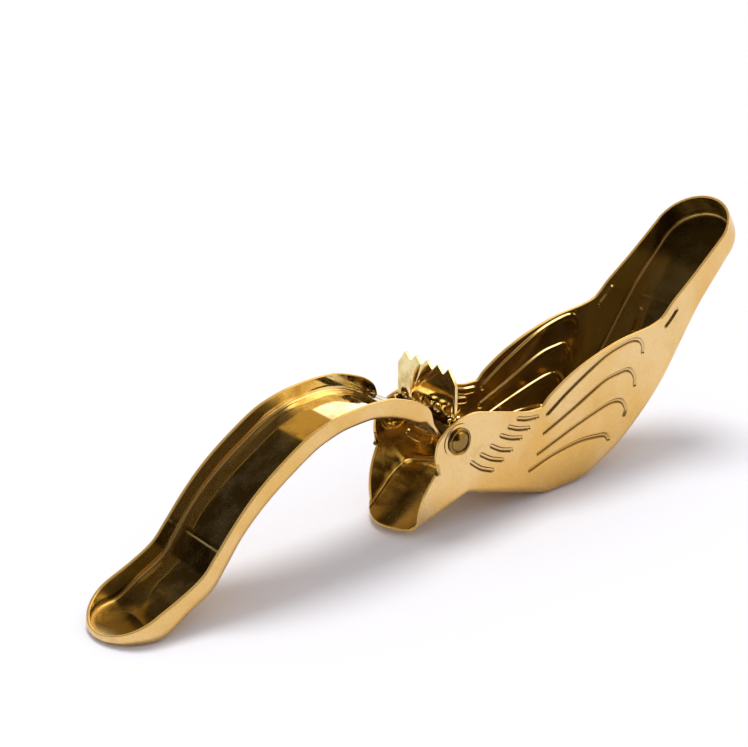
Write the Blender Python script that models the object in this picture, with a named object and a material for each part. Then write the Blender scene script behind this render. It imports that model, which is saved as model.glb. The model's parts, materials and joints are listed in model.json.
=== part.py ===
"""Bird-shaped citrus wedge squeezer: two pressed sheet channels hinged at the bird's eyes.

Outlines are side views in millimetres, measured from the hinge axis: +x runs to the bird's tail,
+z runs up. The part's own origin lies on the table, in the middle of its length and width.
"""
import math

import bmesh
import bpy
from mathutils import Vector

MM = 0.001
SHEET = 0.85                # thickness of the pressed sheet
GAP = 0.3                   # clearance between touching pieces

PIVOT_X = -7.25             # hinge axis, from the middle of the open length
PIVOT_Z = 26.2              # hinge axis above the table

BODY_HALF = 13.3            # half of the bird's outside width at the cheeks and wings
TAIL_HALF = 12.7            # half width, and end radius, of the tail handle
BODY_CORNER = 2.6           # outside corner between wall and floor
LEVER_HALF = 11.7           # half width, and end radius, of the lever
LEVER_CORNER = 1.8

SHANK_RADIUS = 1.3
HOLE_RADIUS = SHANK_RADIUS + GAP
EYE_RADIUS = 3.75

COMB_HALF = 11.4            # half width of the strainer comb
FOOT_HALF = 9.0             # half width of its foot, which lies in the lever's channel
COMB_X = 0.55               # middle plane of the upright comb
TIP_Z = 18.5                # height of the comb's tips above the hinge axis
SHOULDER_Z = 14.5           # where its sides start to slant in
COMB_FOOT_Z = 3.0           # where the wide comb ends and the narrower foot begins
TEETH = 5
TOOTH_PITCH = 4.3
TOOTH_DEPTH = 2.2
DRAIN_Z = 6.7               # row of drain holes
DRAIN_RADIUS = 1.5
TOOTH_SLANT = 0.45          # part of the pitch from a tooth's tip to the notch after it
VALLEY = [(0.35, 1.9), (-0.35, 1.0), (-1.3, 0.7), (-2.2, 1.1), (-3.0, 2.1)]
FOOT_END_X = -18.0
FOOT_START = 0.8            # from the end of the valley to the part lying on the lever's floor
EAR_OUT = 11.3              # outer face of the ears, from the middle plane
EAR_RADIUS = 3.4
EAR_FRONT = -1.3
EAR_BACK = 2.3
EAR_TOP_Z = 5.4
RIVET_TAIL_RADIUS = 2.3     # formed tail of a rivet
RIVET_TAIL_HEIGHT = 0.85
DOME_HEIGHT = 1.5           # how far a rivet's head stands past its own seat
SPACER_RADIUS = 3.2

# rim x, rim z, corner x, corner z, half width at rim, half width at corner, floor rise in the middle
BODY_SECTIONS = [
    (-6.4, -7.8, -11.6, -24.6, 12.5, 9.6, -0.1),      # edge of the open beak
    (-6.42, -7.6, -8.4, -23.0, 12.5, 10.6, 0.5),      # sections fan out round the notch
    (-6.5, -7.1, -5.2, -21.4, 12.5, 11.6, 1.2),
    (-7.4, -3.5, -2.2, -19.7, 12.8, 12.5, 2.0),       # round front of the cheek
    (-6.8, 0.8, -0.7, -19.0, 13.1, 12.8, 2.3),
    (-4.2, 3.6, 0.9, -18.3, 13.3, 13.1, 2.6),
    (0.0, 5.5, 2.5, -17.7, 13.3, 13.2, 2.7),
    (5.1, 6.4, 4.4, -17.2, 13.3, 13.3, 2.8),          # throat ridge
    (11.0, 5.2, 9.0, -18.5, 13.3, 13.3, 1.2),
    (18.0, 3.3, 16.0, -20.6, 13.3, 13.3, 0.0),
    (26.5, 1.3, 25.0, -23.3, 13.3, 13.3, 0.0),
    (30.2, 1.2, 30.5, -25.0, 13.3, 13.3, 0.0),        # neck notch
    (33.4, 3.6, 36.0, -PIVOT_Z, 13.3, 13.3, 0.0),
    (41.5, 8.0, 42.0, -PIVOT_Z, 13.3, 13.3, 0.0),     # flat of the belly
    (52.3, 11.7, 48.5, -PIVOT_Z, 13.3, 13.3, 0.0),
    (63.0, 13.9, 61.0, -20.6, 13.3, 13.3, 0.0),
    (73.0, 14.8, 71.6, -12.9, 13.3, 13.3, 0.0),       # back of the wings
    (77.8, 15.9, 80.2, -4.8, 13.2, 13.2, 0.0),
    (83.5, 20.4, 88.4, 6.1, 13.1, 13.1, 0.0),
    (91.6, 26.1, 95.0, 15.0, 12.9, 12.9, 0.0),        # root of the tail handle
    (103.5, 35.2, 107.9, 28.5, TAIL_HALF, TAIL_HALF, 0.0),
]
BEAK_POINT = 3.8            # how far the middle of the beak's lip stands forward of its corners
BEAK_BULGE = 1.3            # how far the beak's front edge bows forward
BEAK_SECTIONS = 5           # sections that share the beak's point
TAIL_SLOPE = math.radians(41)

# rim x, rim z, corner x, corner z, from the hinge end to the thumb rest
LEVER_SECTIONS = [
    (-4.6, 2.6, -5.4, 2.0),                           # low lip along the tongue
    (-7.0, 6.0, -7.4, 4.9),
    (-8.2, 10.0, -9.0, 6.0),                          # round end of the side wall
    (-11.2, 12.9, -11.4, 6.7),
    (-16.7, 15.4, -15.8, 8.9),
    (-22.0, 16.9, -21.2, 10.9),
    (-28.0, 17.2, -27.4, 12.0),
    (-35.5, 16.7, -34.2, 11.6),
    (-44.4, 14.7, -42.0, 9.6),
    (-54.6, 9.2, -51.1, 4.6),
    (-63.8, 2.4, -60.2, -1.8),
    (-70.0, -3.8, -66.4, -7.6),
    (-74.4, -8.9, -71.0, -13.4),
    (-78.4, -13.2, -75.2, -18.4),
    (-84.2, -16.4, -82.2, -22.2),
    (-90.9, -19.2, -90.6, -PIVOT_Z),
]
LEVER_SLOPE = math.radians(204)

BODY_STEPS = 2              # sections made between two named ones
LEVER_STEPS = 2
FAN_STEPS = 6               # sections round a quarter of a round end
WALL_STEPS = 3
CORNER_STEPS = 3
FLOOR_STEPS = 3
EAR_STEPS = 18
TURN_STEPS = 28
HOLE_STEPS = 24
DRAIN_STEPS = 20
CORNER_SHARE = 0.6          # largest part of a low wall that its corner may take
CUTTER_DEPTH = 6            # long enough to pass right through the sheet
SMALLEST = 0.001            # points closer than this are one point
SHARP_ANGLE = math.radians(35)


def clear_scene():
    for old in list(bpy.data.objects):
        bpy.data.objects.remove(old, do_unlink=True)


def metal(name, colour, roughness):
    material = bpy.data.materials.new(name)
    material.use_nodes = True
    shader = material.node_tree.nodes["Principled BSDF"]
    shader.inputs["Base Color"].default_value = (*colour, 1.0)
    shader.inputs["Roughness"].default_value = roughness
    shader.inputs["Metallic"].default_value = 1.0
    return material


def hinge_empty(name):
    empty = bpy.data.objects.new(name, None)
    empty.location = (PIVOT_X * MM, 0, PIVOT_Z * MM)
    bpy.context.collection.objects.link(empty)
    return empty


def make_object(name, bm, material, parent):
    """Finish a bmesh, whose points are in millimetres from the hinge axis, as an object."""
    bmesh.ops.recalc_face_normals(bm, faces=bm.faces)
    bmesh.ops.scale(bm, vec=(MM, MM, MM), verts=bm.verts)
    mesh = bpy.data.meshes.new(name)
    bm.to_mesh(mesh)
    bm.free()
    mesh.materials.append(material)
    mesh.shade_smooth()
    mesh.set_sharp_from_angle(angle=SHARP_ANGLE)
    piece = bpy.data.objects.new(name, mesh)
    bpy.context.collection.objects.link(piece)
    piece.parent = parent
    return piece


def cut(piece, cutter):
    cutter.hide_render = True
    cutter.display_type = "WIRE"
    boolean = piece.modifiers.new("cut_" + cutter.name, "BOOLEAN")
    boolean.operation = "DIFFERENCE"
    boolean.object = cutter


def slopes(values):
    """Tangents that never overshoot: zero at a turning point, harmonic mean elsewhere."""
    steps = [b - a for a, b in zip(values, values[1:])]
    inner = [2 * a * b / (a + b) if a * b > 0 else 0.0 for a, b in zip(steps, steps[1:])]
    return [steps[0]] + inner + [steps[-1]]


def smooth_rows(rows, steps):
    """Rows of numbers with smooth ones added between them, each column on its own curve."""
    columns = []
    for values in zip(*rows):
        tangents = slopes(values)
        column = []
        for i in range(len(values) - 1):
            for k in range(steps):
                t = k / steps
                rise = t * t * (3 - 2 * t)
                column.append(values[i] * (1 - rise) + values[i + 1] * rise
                              + tangents[i] * t * (1 - t) ** 2 - tangents[i + 1] * t * t * (1 - t))
        column.append(values[-1])
        columns.append(column)
    return list(zip(*columns))


def half_section(rim, corner, middle, radius, bulge=0.0, fold=0.0):
    """Points from the rim down the wall, round the corner and along the floor to its middle."""
    up = (rim - corner).normalized()
    across = (middle - corner).normalized()
    radius = min(radius, CORNER_SHARE * (rim - corner).length)
    wall_foot = corner + up * radius
    floor_start = corner + across * radius
    points = []
    for k in range(WALL_STEPS):
        t = k / WALL_STEPS
        point = rim.lerp(wall_foot, t)
        point.x -= bulge * 4 * t * (1 - t)
        points.append(point)
    for k in range(CORNER_STEPS):
        t = k / CORNER_STEPS
        points.append(wall_foot * (1 - t) ** 2 + corner * 2 * t * (1 - t) + floor_start * t * t)
    for k in range(FLOOR_STEPS + 1):
        t = k / FLOOR_STEPS
        crowned = 1 - (1 - t) ** 2
        rise = fold * t + (1 - fold) * crowned
        point = floor_start.lerp(middle, t)
        point.z = floor_start.z + (middle.z - floor_start.z) * rise
        point.x = floor_start.x + (middle.x - floor_start.x) * crowned
        points.append(point)
    return points


def fan_sections(centre, low_centre, radius, slope, low_slope, corner):
    """Sections that turn about the middle of a round end, from its side to its tip."""
    along = Vector((math.cos(slope), 0, math.sin(slope)))
    low_along = Vector((math.cos(low_slope), 0, math.sin(low_slope)))
    sections = []
    for k in range(1, FAN_STEPS + 1):
        turn = math.pi / 2 * k / FAN_STEPS
        side = Vector((0, -math.cos(turn), 0))
        rim = centre + (side + along * math.sin(turn)) * radius
        low = low_centre + (side + low_along * math.sin(turn)) * radius
        sections.append(half_section(rim, low, low_centre, corner))
    return sections


def add_sheet(bm, sections):
    """Join half sections and their mirror images into one open sheet."""
    found = {}

    def vertex(point, mirror):
        place = Vector((point.x, -point.y if mirror else point.y, point.z))
        key = tuple(round(value / SMALLEST) for value in place)
        if key not in found:
            found[key] = bm.verts.new(place)
        return found[key]

    for mirror in (False, True):
        for first, second in zip(sections, sections[1:]):
            for k in range(len(first) - 1):
                loop = [vertex(p, mirror) for p in (first[k], first[k + 1], second[k + 1], second[k])]
                corners = list(dict.fromkeys(loop))
                if len(corners) > 2 and not bm.faces.get(corners):
                    bm.faces.new(corners)


def thicken(piece, offset):
    """Give an open sheet its thickness: -1 grows it inwards, 0 to both sides."""
    solid = piece.modifiers.new("sheet", "SOLIDIFY")
    solid.thickness = SHEET * MM
    solid.offset = offset
    solid.use_even_offset = True


def add_cylinder(bm, radius, length, middle, axis, steps):
    made = bmesh.ops.create_cone(bm, cap_ends=True, segments=steps, radius1=radius, radius2=radius,
                                 depth=length)
    turn = Vector((0, 0, 1)).rotation_difference(Vector(axis)).to_matrix()
    bmesh.ops.rotate(bm, verts=made["verts"], cent=(0, 0, 0), matrix=turn)
    bmesh.ops.translate(bm, verts=made["verts"], vec=middle)


def hinge_hole_cutter(name, length, across, parent):
    """A cylinder on the hinge axis, with its middle at a distance across."""
    bm = bmesh.new()
    add_cylinder(bm, HOLE_RADIUS, length, (0, across, 0), (0, 1, 0), HOLE_STEPS)
    return make_object(name, bm, METALS["cutter"], parent)


def build_body(parent):
    sections = []
    rows = smooth_rows(BODY_SECTIONS, BODY_STEPS)
    beak_rows = (BEAK_SECTIONS - 1) * BODY_STEPS
    for i, (rim_x, rim_z, low_x, low_z, rim_half, low_half, rise) in enumerate(rows):
        beak = max(0.0, 1 - i / beak_rows)
        rim = Vector((rim_x, -rim_half, rim_z))
        corner = Vector((low_x, -low_half, low_z))
        middle = Vector((low_x - BEAK_POINT * beak, 0, low_z + rise))
        sections.append(half_section(rim, corner, middle, BODY_CORNER, BEAK_BULGE * beak ** 2, beak))
    rim_x, rim_z, low_x, low_z = BODY_SECTIONS[-1][:4]
    sections += fan_sections(Vector((rim_x, 0, rim_z)), Vector((low_x, 0, low_z)), TAIL_HALF,
                             TAIL_SLOPE, TAIL_SLOPE, BODY_CORNER)
    bm = bmesh.new()
    add_sheet(bm, sections)
    body = make_object("bird_body", bm, METALS["body"], parent)
    thicken(body, -1)
    cut(body, hinge_hole_cutter("eye_hole_cutter", 4 * BODY_HALF, 0, parent))


def build_lever(parent):
    sections = []
    for rim_x, rim_z, low_x, low_z in smooth_rows(LEVER_SECTIONS, LEVER_STEPS):
        rim = Vector((rim_x, -LEVER_HALF, rim_z))
        corner = Vector((low_x, -LEVER_HALF, low_z))
        middle = Vector((low_x, 0, low_z))
        sections.append(half_section(rim, corner, middle, LEVER_CORNER))
    rim_x, rim_z, low_x, low_z = LEVER_SECTIONS[-1]
    sections += fan_sections(Vector((rim_x, 0, rim_z)), Vector((low_x, 0, low_z)), LEVER_HALF,
                             LEVER_SLOPE, math.pi, LEVER_CORNER)
    bm = bmesh.new()
    add_sheet(bm, sections)
    lever = make_object("press_lever", bm, METALS["lever"], parent)
    thicken(lever, -1)


def comb_outline():
    """Corners of the comb across its width and height, up one side, along the teeth and down."""
    outline = [(-FOOT_HALF, COMB_FOOT_Z), (-COMB_HALF, COMB_FOOT_Z), (-COMB_HALF, SHOULDER_Z)]
    for k in range(TEETH):
        tip = TOOTH_PITCH * (k - (TEETH - 1) / 2)
        outline.append((tip, TIP_Z))
        if k < TEETH - 1:
            outline.append((tip + TOOTH_PITCH * TOOTH_SLANT, TIP_Z - TOOTH_DEPTH))
    outline += [(COMB_HALF, SHOULDER_Z), (COMB_HALF, COMB_FOOT_Z), (FOOT_HALF, COMB_FOOT_Z)]
    return outline


def foot_path():
    """Side view of the foot: down from the comb, round the valley and up the lever's floor."""
    path = [(COMB_X, COMB_FOOT_Z)] + VALLEY
    floor = [(row[2], row[3]) for row in smooth_rows(LEVER_SECTIONS, LEVER_STEPS)]
    lift = 1.5 * SHEET + GAP
    for (x0, z0), (x1, z1), (x2, z2) in zip(floor, floor[1:], floor[2:]):
        length = math.hypot(x2 - x0, z2 - z0)
        point = (x1 + lift * (z2 - z0) / length, z1 - lift * (x2 - x0) / length)
        if point[0] < VALLEY[-1][0] - FOOT_START:
            path.append(point)
        if x1 < FOOT_END_X:
            return path
    return path


def ear_outline():
    """Side view of an ear: a round lobe about the hinge axis, with a neck up to the comb."""
    start = math.acos(EAR_BACK / EAR_RADIUS)
    end = math.acos(EAR_FRONT / EAR_RADIUS) - 2 * math.pi
    points = [(EAR_FRONT, EAR_TOP_Z), (EAR_BACK, EAR_TOP_Z)]
    for k in range(EAR_STEPS + 1):
        angle = start + (end - start) * k / EAR_STEPS
        points.append((EAR_RADIUS * math.cos(angle), EAR_RADIUS * math.sin(angle)))
    return points


def build_ear(name, side, parent):
    bm = bmesh.new()
    inner = [bm.verts.new((x, side * (EAR_OUT - SHEET), z)) for x, z in ear_outline()]
    face = bm.faces.new(inner)
    grown = bmesh.ops.extrude_face_region(bm, geom=[face])
    moved = [item for item in grown["geom"] if isinstance(item, bmesh.types.BMVert)]
    bmesh.ops.translate(bm, verts=moved, vec=(0, side * SHEET, 0))
    return make_object(name, bm, METALS["cutter"], parent)


def drain_cutter(parent):
    """Five short cylinders in a row, side by side across the comb."""
    bm = bmesh.new()
    for k in range(TEETH):
        across = TOOTH_PITCH * (k - (TEETH - 1) / 2)
        add_cylinder(bm, DRAIN_RADIUS, CUTTER_DEPTH, (COMB_X, across, DRAIN_Z), (1, 0, 0), DRAIN_STEPS)
    return make_object("drain_cutter", bm, METALS["cutter"], parent)


def build_strainer(parent):
    bm = bmesh.new()
    bm.faces.new([bm.verts.new((COMB_X, y, z)) for y, z in comb_outline()])
    bm.verts.ensure_lookup_table()
    left = bm.verts[0]
    right = bm.verts[-1]
    for x, z in foot_path()[1:]:
        next_left = bm.verts.new((x, -FOOT_HALF, z))
        next_right = bm.verts.new((x, FOOT_HALF, z))
        bm.faces.new((left, right, next_right, next_left))
        left = next_left
        right = next_right
    strainer = make_object("strainer_plate", bm, METALS["lever"], parent)
    thicken(strainer, 0)
    for side, name in ((-1, "near"), (1, "far")):
        ear = build_ear(name + "_ear", side, parent)
        ear.hide_render = True
        ear.display_type = "WIRE"
        union = strainer.modifiers.new(name + "_ear", "BOOLEAN")
        union.operation = "UNION"
        union.object = ear
        cut(strainer, hinge_hole_cutter(name + "_hole_cutter", CUTTER_DEPTH / 2, side * EAR_OUT, parent))
    cut(strainer, drain_cutter(parent))


def turned(name, profile, side, material, parent):
    """A round piece on the hinge axis from its (radius, distance from the middle plane) profile."""
    bm = bmesh.new()
    points = [bm.verts.new((radius, side * away, 0)) for radius, away in profile]
    closed = profile[0][0] > 0
    edges = [bm.edges.new(pair) for pair in zip(points, points[1:])]
    if closed:
        edges.append(bm.edges.new((points[-1], points[0])))
    bmesh.ops.spin(bm, geom=points + edges, cent=(0, 0, 0), axis=(0, 1, 0), angle=2 * math.pi,
                   steps=TURN_STEPS, use_merge=True)
    bmesh.ops.remove_doubles(bm, verts=bm.verts, dist=SMALLEST)
    make_object(name, bm, material, parent)


def rivet_profile():
    """Domed head with a ring round it, the shank, and the tail formed inside the ear."""
    face = BODY_HALF + GAP
    tail = EAR_OUT - SHEET - GAP
    return [
        (0.0, face + DOME_HEIGHT), (0.9, face + 1.42), (1.8, face + 1.15), (2.5, face + 0.65),
        (2.8, face + 0.35), (3.2, face + 0.5), (3.6, face + 0.4), (EYE_RADIUS, face + 0.15),
        (EYE_RADIUS - 0.1, face), (SHANK_RADIUS, face), (SHANK_RADIUS, tail),
        (RIVET_TAIL_RADIUS, tail), (RIVET_TAIL_RADIUS, tail - 0.4),
        (RIVET_TAIL_RADIUS - 0.7, tail - RIVET_TAIL_HEIGHT), (0.0, tail - RIVET_TAIL_HEIGHT),
    ]


def spacer_profile():
    inner = EAR_OUT + GAP
    outer = BODY_HALF - SHEET - GAP
    return [(HOLE_RADIUS, inner), (SPACER_RADIUS, inner), (SPACER_RADIUS, outer), (HOLE_RADIUS, outer)]


clear_scene()
METALS = {
    "body": metal("gold_sheet", (0.80, 0.56, 0.22), 0.22),
    "lever": metal("gold_sheet_bright", (0.83, 0.60, 0.25), 0.20),
    "rivet": metal("gold_rivet", (0.66, 0.44, 0.14), 0.16),
    "spacer": metal("plain_brass", (0.62, 0.47, 0.22), 0.35),
    "cutter": metal("guide", (0.5, 0.5, 0.5), 0.5),
}
bird = hinge_empty("bird_axis")
lever_hinge = hinge_empty("lever_hinge")
build_body(bird)
build_lever(lever_hinge)
build_strainer(lever_hinge)
for side, name in ((-1, "left"), (1, "right")):
    turned("eye_rivet_" + name, rivet_profile(), side, METALS["rivet"], bird)
    turned("spacer_ring_" + name, spacer_profile(), side, METALS["spacer"], bird)
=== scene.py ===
"""Looks of the bird-shaped citrus squeezer: polished gold sheet with pressed feather marks.

Outlines are side views in millimetres from the hinge axis, +x to the bird's tail and +z up, as in
the CAD source. world() turns them into metres in the frame.
"""
import json
import math

import bmesh
import bpy
import numpy as np
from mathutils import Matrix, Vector

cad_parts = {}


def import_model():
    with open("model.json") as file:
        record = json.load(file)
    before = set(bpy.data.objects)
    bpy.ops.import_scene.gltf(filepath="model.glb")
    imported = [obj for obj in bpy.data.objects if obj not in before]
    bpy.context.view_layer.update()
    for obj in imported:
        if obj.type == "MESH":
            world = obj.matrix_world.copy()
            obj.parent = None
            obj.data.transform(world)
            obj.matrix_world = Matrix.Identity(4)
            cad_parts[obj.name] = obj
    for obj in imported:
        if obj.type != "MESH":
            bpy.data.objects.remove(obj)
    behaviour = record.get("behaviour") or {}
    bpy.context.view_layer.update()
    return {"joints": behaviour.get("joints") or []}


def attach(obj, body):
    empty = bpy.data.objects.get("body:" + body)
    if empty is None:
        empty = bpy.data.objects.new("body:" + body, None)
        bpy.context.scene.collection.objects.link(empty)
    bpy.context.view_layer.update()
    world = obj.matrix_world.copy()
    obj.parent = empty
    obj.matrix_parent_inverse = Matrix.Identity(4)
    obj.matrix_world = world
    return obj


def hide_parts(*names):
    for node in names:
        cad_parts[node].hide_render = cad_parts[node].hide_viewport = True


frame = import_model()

MM = 0.001
HINGE = np.array(frame["joints"][0]["pos_m"])
TABLE_Z = -HINGE[2] / MM    # the table

SHEET = 0.85
GAP = 0.3
EDGE = 0.24                 # how far the rounded edge of the sheet stands past its flat part
CORNER_EDGE = 0.12          # share of that left at a corner of the outline
CORNER_RUN = 1.8            # length over which it grows back
BODY_HALF = 13.3
TAIL_HALF = 12.7
BODY_CORNER = 2.6
LEVER_HALF = 11.7
LEVER_CORNER = 2.7
LEVER_TIP_REACH = 5.5       # how far the thumb rest's floor rounds up to its end wall
SHANK_RADIUS = 1.3
HOLE_RADIUS = SHANK_RADIUS + GAP
EYE_RADIUS = 3.75
EAR_OUT = 11.3
SPACER_RADIUS = 3.2

# rim x, rim z, corner x, corner z, half width at rim, half width at corner, floor rise in the middle
BODY_SECTIONS = [
    (-6.4, -7.8, -11.6, -24.6, 12.5, 9.6, -0.1),      # edge of the open beak
    (-6.42, -7.6, -8.4, -23.0, 12.5, 10.6, 0.5),      # sections fan out round the notch
    (-6.5, -7.1, -5.2, -21.4, 12.5, 11.6, 1.2),
    (-7.4, -3.5, -2.2, -19.7, 12.8, 12.5, 2.0),       # round front of the cheek
    (-6.8, 0.8, -0.7, -19.0, 13.1, 12.8, 2.3),
    (-4.2, 3.6, 0.9, -18.3, 13.3, 13.1, 2.6),
    (0.0, 5.5, 2.5, -17.7, 13.3, 13.2, 2.7),
    (5.1, 6.4, 4.4, -17.2, 13.3, 13.3, 2.8),          # throat ridge
    (11.0, 5.2, 9.0, -18.5, 13.3, 13.3, 1.2),
    (18.0, 3.3, 16.0, -20.6, 13.3, 13.3, 0.0),
    (26.5, 1.3, 25.0, -23.3, 13.3, 13.3, 0.0),
    (30.2, 1.2, 30.5, -25.0, 13.3, 13.3, 0.0),        # neck notch
    (33.4, 3.6, 36.0, TABLE_Z, 13.3, 13.3, 0.0),
    (41.5, 8.0, 42.0, TABLE_Z, 13.3, 13.3, 0.0),      # flat of the belly
    (52.3, 11.7, 48.8, TABLE_Z + 0.5, 13.3, 13.3, 0.0),
    (63.0, 13.9, 61.0, -20.6, 13.3, 13.3, 0.0),
    (73.0, 14.8, 71.6, -12.9, 13.3, 13.3, 0.0),       # back of the wings
    (77.8, 15.9, 80.2, -4.8, 13.2, 13.2, 0.0),
    (83.5, 20.4, 88.4, 6.1, 13.1, 13.1, 0.0),
    (91.6, 26.1, 95.0, 15.0, 12.9, 12.9, 0.0),        # root of the tail handle
    (103.5, 35.2, 107.9, 28.5, TAIL_HALF, TAIL_HALF, 0.0),
]
BEAK_POINT = 3.8
BEAK_BULGE = 1.3
BEAK_SECTIONS = 5
TAIL_SLOPE = math.radians(41)

# rim x, rim z, corner x, corner z, from the hinge end to the thumb rest
LEVER_SECTIONS = [
    (-4.6, 2.6, -5.4, 2.0),
    (-7.0, 6.0, -7.4, 4.9),
    (-8.2, 10.0, -9.0, 6.0),
    (-11.2, 12.9, -11.4, 6.7),
    (-16.7, 15.4, -15.8, 8.9),
    (-22.0, 16.9, -21.2, 10.9),
    (-28.0, 17.2, -27.4, 12.0),
    (-35.5, 16.7, -34.2, 11.6),
    (-44.4, 14.7, -42.0, 9.6),
    (-54.6, 9.2, -51.1, 4.6),
    (-63.8, 2.4, -60.2, -1.8),
    (-70.0, -3.8, -66.4, -7.6),
    (-74.4, -8.9, -71.0, -13.4),
    (-78.4, -13.2, -75.2, -18.4),
    (-84.2, -16.4, -82.2, -22.2),
    (-90.9, -19.2, -90.6, TABLE_Z),
]
LEVER_SLOPE = math.radians(204)

# strokes pressed into both side walls of the bird: centre lines from end to end
NECK_DASHES = [
    [(21.7, 0.3), (25.3, -0.7), (28.9, -1.1)],
    [(18.4, -1.2), (22.0, -2.7), (25.7, -3.5)],
    [(15.5, -2.9), (19.1, -4.6), (22.9, -5.6)],
    [(12.0, -4.9), (15.6, -7.0), (19.5, -8.2)],
    [(8.4, -6.4), (12.1, -8.7), (16.2, -10.2)],
    [(4.9, -7.7), (8.5, -10.4), (12.6, -12.2)],
]
WING_FEATHERS = [
    [(32.8, -1.3), (41.8, 4.0), (54.2, 9.8), (63.8, 12.1), (68.4, 11.9), (70.4, 9.9), (70.6, 7.7)],
    [(31.9, -6.7), (42.2, -2.7), (54.7, 2.5), (62.1, 3.7), (65.5, 3.5), (67.8, 1.0), (68.1, -1.8)],
    [(29.9, -12.4), (42.7, -8.5), (53.0, -5.8), (59.1, -4.7), (62.9, -5.4), (64.9, -8.1), (64.4, -10.1)],
    [(27.0, -16.6), (35.9, -14.4), (46.2, -13.2), (53.6, -13.7), (56.9, -14.4), (58.3, -16.0)],
]
TAIL_DASH = [[(84.7, 17.3), (82.6, 15.2), (80.3, 13.3)]]
STROKE_HALF = 0.78          # half width of a pressed stroke, outside
STROKE_WALL = 0.5           # how wide its sloping sides are
STROKE_DEPTH = 0.5
INNER_GROW = 0.4            # a stroke is that much wider on the inside
STROKE_REACH = 3.0          # no stroke changes the sheet farther away than this
LIP_SHIFT = (-0.18, -0.4)   # the painted shade line runs along the lower side of a stroke
LIP_HALF = 0.55
OUTLINE_SHARE = 0.35        # a fainter painted shade follows a stroke's whole outline
OUTLINE_HALF = 0.4
EYE_DISH = 4.35             # radius of the shallow dished ring round the eye rivet
EYE_DISH_HALF = 0.65
EYE_DISH_DEPTH = 0.28

LEVER_CREASES = [(-69.6, 0.28), (-74.6, -0.1)]     # place along the floor, height
TAIL_CREASES = [(94.0, 0.14)]
CREASE_HALF = 0.6
CREASE_FADE = 6             # the higher, the closer to the corners a crease keeps its height
CREASE_MARGIN = 0.15
FAR = 1e3                   # a place along the floor that no crease reaches
LEVER_DOME = 1.5            # how far the middle of the thumb rest's floor stands up
LEVER_DOME_X = -80.0        # where that rise starts

# surface grids: points down a side wall, round its corner and across half the floor
BODY_GRID = (190, 10, 20)
LEVER_GRID = (26, 8, 20)
BODY_SPACING = 0.34
LEVER_SPACING = 0.3
FAN_ROWS = 26               # rows round a quarter of a round end
FURTHER_ON = 8              # rows from the first section to one that is clearly behind it
BODY_INSIDE = (40, 0, 0)    # a place that the inner side of the sheet faces
LEVER_INSIDE = (-44, 0, 12)
RIM_ANGLES = np.radians([30, 60, 90, 120, 150])
LIP_ANGLES = np.radians([90, 60, 30])
RIM_WEAR = (6, 3)           # columns from the rim's crest where the worn look starts and is full
SHARP_ANGLE = math.radians(50)

# darker, rougher areas: each mask is 0 at its first place and 1 at its second
THROAT_X = (9.0, 1.0)
THROAT_Z = (-4.0, -8.0)
THROAT_SHARE = 0.85
TAIL_END_X = (101.0, 104.0)
THUMB_REST_X = (-83.0, -88.0)
THUMB_REST_TIP_X = (-105.0, -102.0)
DARK_PATCH_X = -72.25            # the middle of a dark patch across the lever's floor
DARK_PATCH_FADE = (2.67, 2.15)
DARK_PATCH_SIDE = (LEVER_HALF - 2.2, LEVER_HALF - 3.2)

# strainer plate
COMB_HALF = 11.4
FOOT_HALF = 9.0
COMB_X = 0.55
TIP_Z = 18.5
SHOULDER_Z = 14.5
COMB_FOOT_Z = 3.0
TEETH = 5
TOOTH_PITCH = 4.3
TOOTH_DEPTH = 2.2
TOOTH_VALLEY = 0.45         # where the valley between two teeth lies, as a share of the pitch
COMB_ROUND = 0.45
COMB_BEVEL = 0.14
DRAIN_Z = 6.7
DRAIN_RADIUS = 1.5
DRAIN_RIM = 0.15            # how far the painted shade reaches past a drain hole's wall
VALLEY = [(0.35, 1.9), (-0.35, 1.0), (-1.3, 0.7), (-2.2, 1.1), (-3.0, 2.1)]
FOOT_END_X = -18.0
FOOT_OVERLAP = 1.5          # how far the foot reaches up into the comb
FOOT_BLEND = 0.8            # from the valley to where the foot follows the lever's floor
FOOT_STEP = 0.35
EAR_RADIUS = 3.4
EAR_FRONT = -1.3
EAR_BACK = 2.3
EAR_TOP_Z = 5.4

# eye rivets
DOME_RISE = 1.1
DOME_EDGE = 2.8
DOME_STEP = 0.4             # the dome's foot above the cheek's face
RING_MIDDLE = 3.37
RING_RADIUS = 0.36
FORMED_RADIUS = 2.3         # the tail, hammered out behind the ear
FORMED_HEIGHT = 0.85
SPACER_SOFT = 0.12          # chamfer of a spacer ring

# colours, scene linear
PALE_GOLD = (0.82, 0.565, 0.25)
WARM_GOLD = (0.75, 0.445, 0.125)
DEEP_GOLD = (0.52, 0.32, 0.08)
BRIGHT_GOLD = (0.86, 0.71, 0.38)
MIRROR_GOLD = (0.82, 0.66, 0.30)
# painted dark reflection: the rivet heads' colour is darkened to stand in for the dark reflection on the
# domes
SHADED_HEAD_GOLD = (0.30, 0.18, 0.045)
# scuffed gold of the worn rim, also the painted highlight along the inside bends
SCUFF_AND_SHEEN_GOLD = (0.85, 0.53, 0.14)
DULL_GOLD = (0.20, 0.135, 0.035)
# painted shade: near black brown for the shade in the strokes and the drain holes
PAINTED_SHADE = (0.06, 0.03, 0.006)
BRASS = (0.60, 0.43, 0.18)

PAPER_LIGHT = (0.86, 0.85, 0.86)
PAPER_DARK = (0.84, 0.83, 0.84)
FLOOR_RADIUS = 8.0          # metres
FLOOR_DROP = 0.0001

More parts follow.
